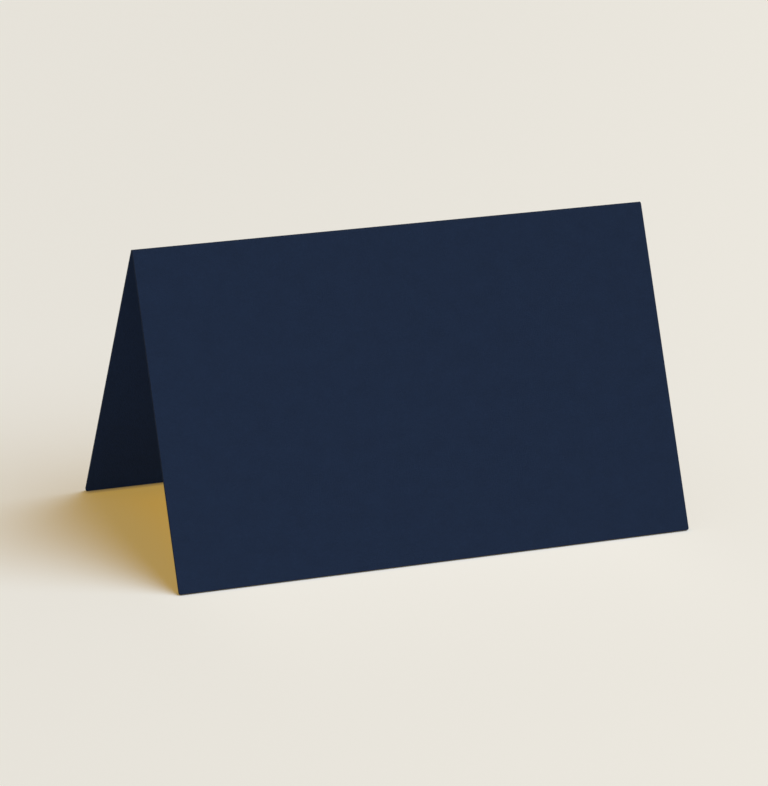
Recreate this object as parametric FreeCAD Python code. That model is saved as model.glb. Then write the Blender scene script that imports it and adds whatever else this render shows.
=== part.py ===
import FreeCAD, Part
import math
import os

# A place card: one rectangle of card stock, cut square, scored across its middle and folded once,
# so that it stands as a tent with two equal flaps.
#
# Frame: X runs along the fold, the front flap leans towards -Y, and Z is up. The origin is on the
# table, midway between the feet of the two flaps and midway along the fold.

# Driving dimensions, in millimetres and degrees.
CARD_WIDTH = 89.0           # along the fold
FLAP_LENGTH = 55.3          # over the outside, from the ridge to the free edge
STOCK_THICKNESS = 0.45
CREASE_RADIUS = 0.08        # inside of the fold
OPENING_ANGLE = 51.6        # between the two flaps
CORNER_RADIUS = 0.35        # the two free corners of each flap

NODE = "folded_card"

half_angle = math.radians(OPENING_ANGLE / 2)
ridge_radius = CREASE_RADIUS + STOCK_THICKNESS
ridge_turn = math.pi / 2 - half_angle
flat_length = FLAP_LENGTH - ridge_radius * ridge_turn
crease_height = flat_length * math.cos(half_angle) - CREASE_RADIUS * math.sin(half_angle)


def flap_point(side, radius, down):
    """A point of the section: side is -1 on the front flap and 1 on the back one, radius is the
    distance of its face from the centre of the fold, and down is how far it lies below the bend."""
    y = radius * math.cos(half_angle) + down * math.sin(half_angle)
    z = crease_height + radius * math.sin(half_angle) - down * math.cos(half_angle)
    return FreeCAD.Vector(0, side * y, z)


def bend(radius):
    """The arc of one face over the fold, from the front flap to the back one."""
    top = FreeCAD.Vector(0, 0, crease_height + radius)
    return Part.Arc(flap_point(-1, radius, 0), top, flap_point(1, radius, 0)).toShape()


def run(start, end):
    """A straight stretch of the section."""
    return Part.LineSegment(start, end).toShape()


def flap_face(side, radius):
    """The straight stretch of one face of a flap, from the bend to the free edge."""
    return run(flap_point(side, radius, 0), flap_point(side, radius, flat_length))


def free_edge(side):
    """The square cut across the stock at the foot of a flap. It stands on its inner corner."""
    return run(
        flap_point(side, ridge_radius, flat_length),
        flap_point(side, CREASE_RADIUS, flat_length),
    )


def card_section():
    """The folded sheet seen along the fold, as one closed face of even thickness."""
    edges = [bend(ridge_radius), bend(CREASE_RADIUS)]
    for side in (-1, 1):
        edges.append(flap_face(side, ridge_radius))
        edges.append(flap_face(side, CREASE_RADIUS))
        edges.append(free_edge(side))
    return Part.Face(Part.Wire(Part.__sortEdges__(edges)))


def is_free_corner(edge):
    """True for the four short edges through the stock where a free edge meets an end of the card."""
    ends = [vertex.Point for vertex in edge.Vertexes]
    through_stock = abs(edge.Length - STOCK_THICKNESS) < 1e-6
    at_card_end = all(abs(abs(point.x) - CARD_WIDTH / 2) < 1e-6 for point in ends)
    at_foot = min(point.z for point in ends) < 1e-6
    return through_stock and at_card_end and at_foot


def folded_card():
    """The section drawn out along the fold, with its four free corners rounded."""
    section = card_section()
    section.translate(FreeCAD.Vector(-CARD_WIDTH / 2, 0, 0))
    card = section.extrude(FreeCAD.Vector(CARD_WIDTH, 0, 0))
    corners = [edge for edge in card.Edges if is_free_corner(edge)]
    return card.makeFillet(CORNER_RADIUS, corners).Solids[0]


os.makedirs("parts", exist_ok=True)
shape = folded_card()
shape.exportStep(f"parts/{NODE}.step")
print(NODE, "valid" if shape.isValid() else "NOT VALID", shape.ShapeType, len(shape.Solids), "solid")
print("box", shape.BoundBox)
print("volume", round(shape.Volume, 3), "mm3, expected about",
      round(CARD_WIDTH * 2 * flat_length * STOCK_THICKNESS
            + CARD_WIDTH * ridge_turn * (ridge_radius ** 2 - CREASE_RADIUS ** 2), 3))
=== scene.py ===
import math

import bmesh
import bpy
from mathutils import Matrix, Quaternion, Vector


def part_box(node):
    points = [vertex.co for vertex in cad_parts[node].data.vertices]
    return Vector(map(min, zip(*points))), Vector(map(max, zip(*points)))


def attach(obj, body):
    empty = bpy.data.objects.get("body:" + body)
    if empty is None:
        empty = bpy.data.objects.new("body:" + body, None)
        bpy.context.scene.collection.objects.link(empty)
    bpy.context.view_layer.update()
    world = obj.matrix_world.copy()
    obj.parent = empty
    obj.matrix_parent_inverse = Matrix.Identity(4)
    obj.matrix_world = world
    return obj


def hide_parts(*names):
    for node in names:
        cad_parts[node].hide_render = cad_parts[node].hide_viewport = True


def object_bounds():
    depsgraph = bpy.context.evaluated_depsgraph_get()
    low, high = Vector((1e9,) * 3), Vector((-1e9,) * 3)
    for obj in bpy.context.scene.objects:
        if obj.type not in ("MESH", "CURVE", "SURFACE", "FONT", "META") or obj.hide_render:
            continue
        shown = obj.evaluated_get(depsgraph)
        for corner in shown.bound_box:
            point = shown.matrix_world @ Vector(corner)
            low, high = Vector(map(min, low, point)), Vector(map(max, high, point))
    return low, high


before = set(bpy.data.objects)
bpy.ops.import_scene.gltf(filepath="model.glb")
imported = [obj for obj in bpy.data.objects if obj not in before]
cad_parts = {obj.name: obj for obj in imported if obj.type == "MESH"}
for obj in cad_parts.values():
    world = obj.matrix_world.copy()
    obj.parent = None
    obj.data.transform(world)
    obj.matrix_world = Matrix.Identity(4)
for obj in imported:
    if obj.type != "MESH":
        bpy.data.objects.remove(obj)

cad_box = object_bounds()
scene = bpy.context.scene


# ---- The card ------------------------------------------------------------------------------------
# One rectangle of heavy navy card, dyed right through and left uncoated. It is guillotined square,
# the points of its four corners are taken off, and it is scored across its middle and folded once
# into a tent, which stands on the inner edges of its two square-cut feet.

STOCK = 0.00045                 # thickness of the card
CREASE_RADIUS = 0.00008         # inside the fold
OPENING = math.radians(51.6)    # between the two flaps
CORNER_RADIUS = 0.00035
CORNER_STEPS = 6
ARRIS = 0.00004                 # the blade leaves no sharper an edge than this
ARRIS_STEPS = 2
SHARP = math.radians(80)        # an edge that turns by more than this is eased
FOLD_ROWS = 24
EDGE_ROW = 0.0004               # one more row on each flap, this far from the fold
SAME_PLACE = 1e-9               # points this near to a new row are taken to lie on it

low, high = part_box("folded_card")
mid_radius = CREASE_RADIUS + STOCK / 2
ridge_radius = CREASE_RADIUS + STOCK
flap = (high.y - ridge_radius * math.cos(OPENING / 2)) / math.sin(OPENING / 2)
fold_half = mid_radius * (math.pi - OPENING) / 2    # half of the bent strip, along its mid thickness
crease = Vector(((low.x + high.x) / 2, 0, high.z - ridge_radius))


def cut_blank():
    """The card before it is folded, flat on XY about the middle of its fold, with its edges eased."""
    bm = bmesh.new()
    size = Matrix.Diagonal((high.x - low.x, 2 * (flap + fold_half), STOCK, 1))
    bmesh.ops.create_cube(bm, size=1, matrix=size)
    corners = [e for e in bm.edges if abs(e.verts[0].co.z - e.verts[1].co.z) > STOCK / 2]
    bmesh.ops.bevel(
        bm, geom=corners, offset=CORNER_RADIUS, segments=CORNER_STEPS,
        affect="EDGES", profile=0.5, material=-1,
    )
    arrises = [e for e in bm.edges if e.calc_face_angle() > SHARP]
    bmesh.ops.bevel(
        bm, geom=arrises, offset=ARRIS, segments=ARRIS_STEPS,
        affect="EDGES", profile=0.5, material=-1,
    )
    return bm


def add_row(bm, along):
    """A row of points across the blank, at this distance along it from the middle of the fold."""
    everything = bm.verts[:] + bm.edges[:] + bm.faces[:]
    bmesh.ops.bisect_plane(
        bm, geom=everything, dist=SAME_PLACE, plane_co=(0, along, 0), plane_no=(0, 1, 0)
    )


def folded(flat):
    """Where a point of the flat blank lies once the card is folded round its crease."""
    bent = max(-fold_half, min(fold_half, flat.y))
    angle = bent / mid_radius
    outward = Vector((0, math.sin(angle), math.cos(angle)))
    along = Vector((0, math.cos(angle), -math.sin(angle)))
    across = Vector((flat.x, 0, 0))
    return crease + across + outward * (mid_radius + flat.z) + along * (flat.y - bent)


bm = cut_blank()
for row in range(FOLD_ROWS + 1):
    add_row(bm, fold_half * (2 * row / FOLD_ROWS - 1))
for side in (-1, 1):
    add_row(bm, side * (fold_half + EDGE_ROW))
sheet = bm.verts.layers.float_vector.new("sheet")    # each point's place on the flat blank
for vert in bm.verts:
    vert[sheet] = vert.co
    vert.co = folded(vert.co)
for face in bm.faces:
    face.smooth = True
mesh = bpy.data.meshes.new("card")
bm.to_mesh(mesh)
bm.free()
card = bpy.data.objects.new("card", mesh)
scene.collection.objects.link(card)
shading = card.modifiers.new("flat_faces", "WEIGHTED_NORMAL")
shading.weight = 100

NAVY = (0.0065, 0.0141, 0.0348)
DEEP_NAVY, PALE_NAVY, CUT_NAVY, DEEP_CUT_NAVY = [
    tuple(depth * level for level in NAVY) for depth in (0.86, 1.14, 0.50, 0.40)
]
SHEEN = 0.102                   # uncoated stock hardly shines
MM = 1000                       # the grain is laid out in millimetres


class Finish:
    """A socket in a material. Sums written on it add Math nodes, and node() adds any other kind."""

    def __init__(self, tree, socket=None):
        self.tree = tree
        self.socket = socket

    def node(self, kind, settings, sockets, output=0):
        """Adds a node: its settings first, then a value or a link for each socket that is named."""
        made = self.tree.nodes.new("ShaderNode" + kind)
        for name, value in settings.items():
            setattr(made, name, value)
        for name, value in sockets.items():
            if isinstance(value, Finish):
                self.tree.links.new(value.socket, made.inputs[name])
            else:
                made.inputs[name].default_value = value
        return Finish(self.tree, made.outputs[output] if made.outputs else None)

    def maths(self, operation, *others):
        """A Math node on this and the other sockets or numbers it needs."""
        return self.node("Math", {"operation": operation}, dict(enumerate((self, *others))))

    def __add__(self, other):
        return self.maths("ADD", other)

    def __sub__(self, other):
        return self.maths("SUBTRACT", other)

    def __rsub__(self, other):
        return self.node("Math", {"operation": "SUBTRACT"}, {0: other, 1: self})

    def __mul__(self, other):
        return self.maths("MULTIPLY", other)

    __radd__ = __add__
    __rmul__ = __mul__

    def rise(self, start, end):
        """0 up to start, 1 from end on, and a soft step between them."""
        return self.node(
            "MapRange", {"interpolation_type": "SMOOTHSTEP"},
            {"Value": self, "From Min": start, "From Max": end},
        )

    def colour(self, first, second):
        """The first colour where this is 0, the second where it is 1, and on past either end."""
        first, second = [(*end, 1) if isinstance(end, tuple) else end for end in (first, second)]
        settings = {"data_type": "RGBA", "clamp_factor": False}
        return self.node("Mix", settings, {0: self, 6: first, 7: second}, output=2)


def navy_card():
    """Dyed uncoated card: faint clouds where the pulp lay thicker, short fibres and a dry tooth."""
    material = bpy.data.materials.new("navy_card")
    material.use_nodes = True
    material.node_tree.nodes.clear()
    finish = Finish(material.node_tree)

    # The place on the flat blank, in millimetres: the grain runs round the fold as it does in paper.
    flat = finish.node("Attribute", {"attribute_name": "sheet"}, {}, "Vector")
    flat = finish.node("VectorMath", {"operation": "SCALE"}, {0: flat, "Scale": MM})
    along = finish.node("SeparateXYZ", {}, {0: flat}, "Y")
    depth = finish.node("SeparateXYZ", {}, {0: flat}, "Z")

    def grain(size, detail=2.0, lean=0.0, wander=0.0):
        """Noise whose blots are this long, wide and deep, in millimetres, at a lean on the sheet."""
        laid = finish.node(
            "Mapping", {"vector_type": "TEXTURE"}, {0: flat, "Rotation": (0, 0, lean), "Scale": size}
        )
        return finish.node(
            "TexNoise", {}, {"Vector": laid, "Scale": 1.0, "Detail": detail, "Distortion": wander}
        )

    clouds = grain((3.6, 3.0, 3.0), detail=3.0)
    felt = grain((0.9, 0.7, 0.7))
    tooth = grain((0.17, 0.17, 0.17), detail=3.0)
    fibres = grain((1.5, 0.05, 0.2), lean=0.15, wander=0.6).rise(0.55, 0.68)
    for lean in (1.1, -0.8):
        crossing = grain((1.1, 0.05, 0.2), lean=lean, wander=0.6).rise(0.56, 0.69)
        fibres = fibres.maths("MAXIMUM", crossing)
    laminae = grain((1.4, 1.4, 0.035))

    # Where the blade went through the stock, and where the outside of the fold is drawn tight.
    half = MM * STOCK / 2
    cut = (half - depth.maths("ABSOLUTE")).rise(0.0, MM * ARRIS)
    bend = MM * fold_half
    ridge = (1 - along.maths("ABSOLUTE").rise(0.6 * bend, bend)) * depth.rise(0, half)
    drawn = grain((2.2, 0.05, 0.3)) * ridge

    # How far each mark moves the shade from deep to pale, the roughness, and the relief in millimetres.
    shade = 0.44 + (clouds - 0.5) * 0.8 + (tooth - 0.5) * 0.9 + fibres * 0.9
    face = shade.colour(DEEP_NAVY, PALE_NAVY)
    edge = laminae.rise(0.35, 0.65).colour(DEEP_CUT_NAVY, CUT_NAVY)
    base = cut.colour(face, edge)
    rough = 0.84 + (tooth - 0.5) * 0.10 + cut * 0.12 - fibres * 0.03
    height = tooth * 0.100 + felt * 0.040 + fibres * 0.012 + drawn * 0.020 + cut * laminae * 0.020
    relief = finish.node("Bump", {}, {"Strength": 1.0, "Distance": 1 / MM, "Height": height})
    surface = finish.node(
        "BsdfPrincipled", {},
        {"Base Color": base, "Roughness": rough, "Normal": relief, "Specular IOR Level": SHEEN},
    )
    finish.node("OutputMaterial", {}, {"Surface": surface})
    return material


card.data.materials.append(navy_card())
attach(card, "root")
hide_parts("folded_card")


# ---- The tabletop --------------------------------------------------------------------------------
# A matt cream tabletop that runs on out of view. Painted light makes it a shade lighter in front of
# the card and on the side of the key light. Its paint also glows gold: cream in the light, and in
# the shadow under the card only the gold glow is left, a painted gold shadow, painted deeper and
# redder towards the middle of the tent.

PAINTED_LIT_CREAM = (0.851, 0.821, 0.750)    # painted light, on the side of the key
PAINTED_SHADED_CREAM = (0.790, 0.761, 0.696)     # painted shade, on the side away from it
SHADOW_GLOW_SHARE = (0.482, 0.305, 0.048)       # how much of the cream glows, and so is left in full shadow: a painted gold shadow
INNER_GLOW_SHARE = (0.546, 0.326, 0.038)      # and how much glows well inside the tent: painted deeper shade
FLOOR_LIGHT = 0.72                       # how brightly the lamps light the tabletop
TOWARDS_KEY = (0.87, -0.50, 0.0)
LIT_STRIP_REACH = 0.060                            # how far the painted strip of light runs out from the front foot
LIT_STRIP_TONE = 0.8                         # how much lighter the painted light makes it, in steps from darker to lighter
THROWN = 0.3                             # how much of the gold glow reaches the card as light
CONTACT_SHADE_REACH = 0.0012                         # the glow is darkened this near to where card meets table: painted contact shade
GLOW_LEFT_AT_CONTACT = 0.15                      # and this much of the glow is left there
HALF_SIDE = 6.0                          # of the tabletop

bm = bmesh.new()
bmesh.ops.create_grid(bm, x_segments=1, y_segments=1, size=HALF_SIDE)
bmesh.ops.translate(bm, verts=bm.verts, vec=(0, 0, cad_box[0].z))
mesh = bpy.data.meshes.new("tabletop")
bm.to_mesh(mesh)
bm.free()
tabletop = bpy.data.objects.new("tabletop", mesh)
scene.collection.objects.link(tabletop)

paint = bpy.data.materials.new("cream_paint_with_painted_light")
paint.use_nodes = True
paint.node_tree.nodes.clear()
finish = Finish(paint.node_tree)

# Painted light: the tone climbs from 0, the darker, to 1, the lighter, towards the key, and settles half
# way far out.
place = finish.node("TexCoord", {}, {}, "Object")
across = finish.node("VectorMath", {"operation": "DOT_PRODUCT"}, {0: place, 1: TOWARDS_KEY}, "Value")
key_side = across.rise(-0.09, 0.17)
far_out = finish.node("VectorMath", {"operation": "LENGTH"}, {0: place}, "Value").rise(0.3, 1.2)
painted_key_light = key_side + far_out * (0.5 - key_side)

# A painted strip of light in front is lightest at the foot, and dies away outwards and past the ends of the
# card.
end, foot = cad_box[1].x, cad_box[1].y
x, y = [finish.node("SeparateXYZ", {}, {0: place}, way) for way in "XY"]
from_middle, from_fold = [way.maths("ABSOLUTE") for way in (x, y)]
ahead = -foot - y
lit_strip_fade = (1 - ahead * (1 / LIT_STRIP_REACH)).maths("MAXIMUM", 0.0)
in_front = ahead.maths("GREATER_THAN", 0.0) * (1 - from_middle.rise(0.67 * end, 1.2 * end))
tone = painted_key_light + lit_strip_fade * lit_strip_fade * in_front * LIT_STRIP_TONE


def toned(share):
    """This share of the cream, by channel, as the painted light changes its tone across the tabletop."""
    darker, lighter = [
        tuple(level * part for level, part in zip(cream, share)) for cream in (PAINTED_SHADED_CREAM, PAINTED_LIT_CREAM)
    ]
    return tone.colour(darker, lighter)


lit = toned([(1 - gold) / FLOOR_LIGHT for gold in SHADOW_GLOW_SHARE])
# Painted shade: the gold glow is deeper and redder well inside the tent.
deep_in_tent = (1 - from_middle.rise(0.72 * end, end)) * (1 - from_fold.rise(0.6 * foot, foot))
painted_gold_shadow = deep_in_tent.colour(toned(SHADOW_GLOW_SHARE), toned(INNER_GLOW_SHARE))
# The emission is painted light: a glow that stands in for the gold shadow, and lights the card too.
thrown = finish.node("LightPath", {}, {}, "Is Diffuse Ray")
# Painted contact shade: ambient occlusion dims the glow where card meets table.
open_to_air = finish.node("AmbientOcclusion", {"samples": 8}, {"Distance": CONTACT_SHADE_REACH}, "AO")
glow = (1 - thrown * (1 - THROWN)) * (GLOW_LEFT_AT_CONTACT + open_to_air * (1 - GLOW_LEFT_AT_CONTACT))
top = finish.node("AddShader", {}, {
    0: finish.node("BsdfDiffuse", {}, {"Color": lit}),
    1: finish.node("Emission", {}, {"Color": glow.colour((0.0, 0.0, 0.0), painted_gold_shadow)}),
})
finish.node("OutputMaterial", {}, {"Surface": top})
tabletop.data.materials.append(paint)


# ---- The light -----------------------------------------------------------------------------------
# One large soft key from the front right, and two low boxes that face each other across the card,
# one front left and one back right. They are flagged off the tabletop: they open up the inside of
# the card and its back, and draw no second shadow.

def light_from(azimuth, elevation):
    """Direction from the card to a lamp. Azimuth is turned from +X towards +Y, in degrees."""
    a, e = math.radians(azimuth), math.radians(elevation)
    return Vector((math.cos(e) * math.cos(a), math.cos(e) * math.sin(a), math.sin(e)))


def hang(name, lamp, direction, distance):
    """A lamp at this distance from the card, aimed at it and kept out of view."""
    box = bpy.data.objects.new(name, lamp)
    box.matrix_world = Matrix.LocRotScale(direction * distance, (-direction).to_track_quat("-Z", "Y"), None)
    box.visible_camera = False
    scene.collection.objects.link(box)
    return box


key = bpy.data.lights.new("key", "SUN")
key.energy = 2.54
key.angle = math.radians(62)
hang("key", key, light_from(azimuth=-40.4, elevation=50), distance=6.0)

fill = bpy.data.lights.new("fill", "AREA")
fill.shape = "RECTANGLE"
fill.size = 1.5
fill.size_y = 0.39
fill.energy = 19.4
card_only = bpy.data.collections.new("card_only")
card_only.objects.link(card)
for name, azimuth in (("front_fill", 216), ("back_fill", 36)):
    box = hang(name, fill, light_from(azimuth, elevation=8), distance=1.5)
    box.light_linking.receiver_collection = card_only

world = bpy.data.worlds.new("studio")
scene.world = world
world.use_nodes = True
world.node_tree.nodes.clear()
finish = Finish(world.node_tree)
camera_ray, glossy_ray, transmission_ray = [
    finish.node("LightPath", {}, {}, "Is %s Ray" % kind) for kind in ("Camera", "Glossy", "Transmission")
]
seen = camera_ray.maths("MAXIMUM", glossy_ray).maths("MAXIMUM", transmission_ray)
room = finish.node("Background", {}, {"Color": (0.95, 0.93, 0.90, 1), "Strength": 0.115})
cream = [(darker + lighter) / 2 for darker, lighter in zip(PAINTED_SHADED_CREAM, PAINTED_LIT_CREAM)]
backdrop = finish.node("Background", {}, {"Color": (*cream, 1), "Strength": 1.0})
around = finish.node("MixShader", {}, {0: seen, 1: room, 2: backdrop})
finish.node("OutputWorld", {}, {"Surface": around})


# ---- The camera ----------------------------------------------------------------------------------
# A long lens, a little above the card and round to its left, so that the open end shows. It is tipped
# by a degree or two, which sets the ridge and the feet on their slant.

AZIMUTH = math.radians(-22.31)
ELEVATION = math.radians(19.61)
ROLL = math.radians(1.50)
DISTANCE = 0.6588
AIM = Vector((-0.00066, 0, 0.02088))
FOCAL_LENGTH = 183.1            # in millimetres
back = Vector((
    math.sin(AZIMUTH) * math.cos(ELEVATION), -math.cos(AZIMUTH) * math.cos(ELEVATION), math.sin(ELEVATION)
))
lens = bpy.data.cameras.new("camera")
lens.lens = FOCAL_LENGTH
camera = bpy.data.objects.new("camera", lens)
turn = (-back).to_track_quat("-Z", "Y") @ Quaternion((0, 0, 1), ROLL)
camera.matrix_world = Matrix.LocRotScale(AIM + back * DISTANCE, turn, None)
scene.collection.objects.link(camera)
scene.camera = camera

scene.view_settings.view_transform = "Standard"
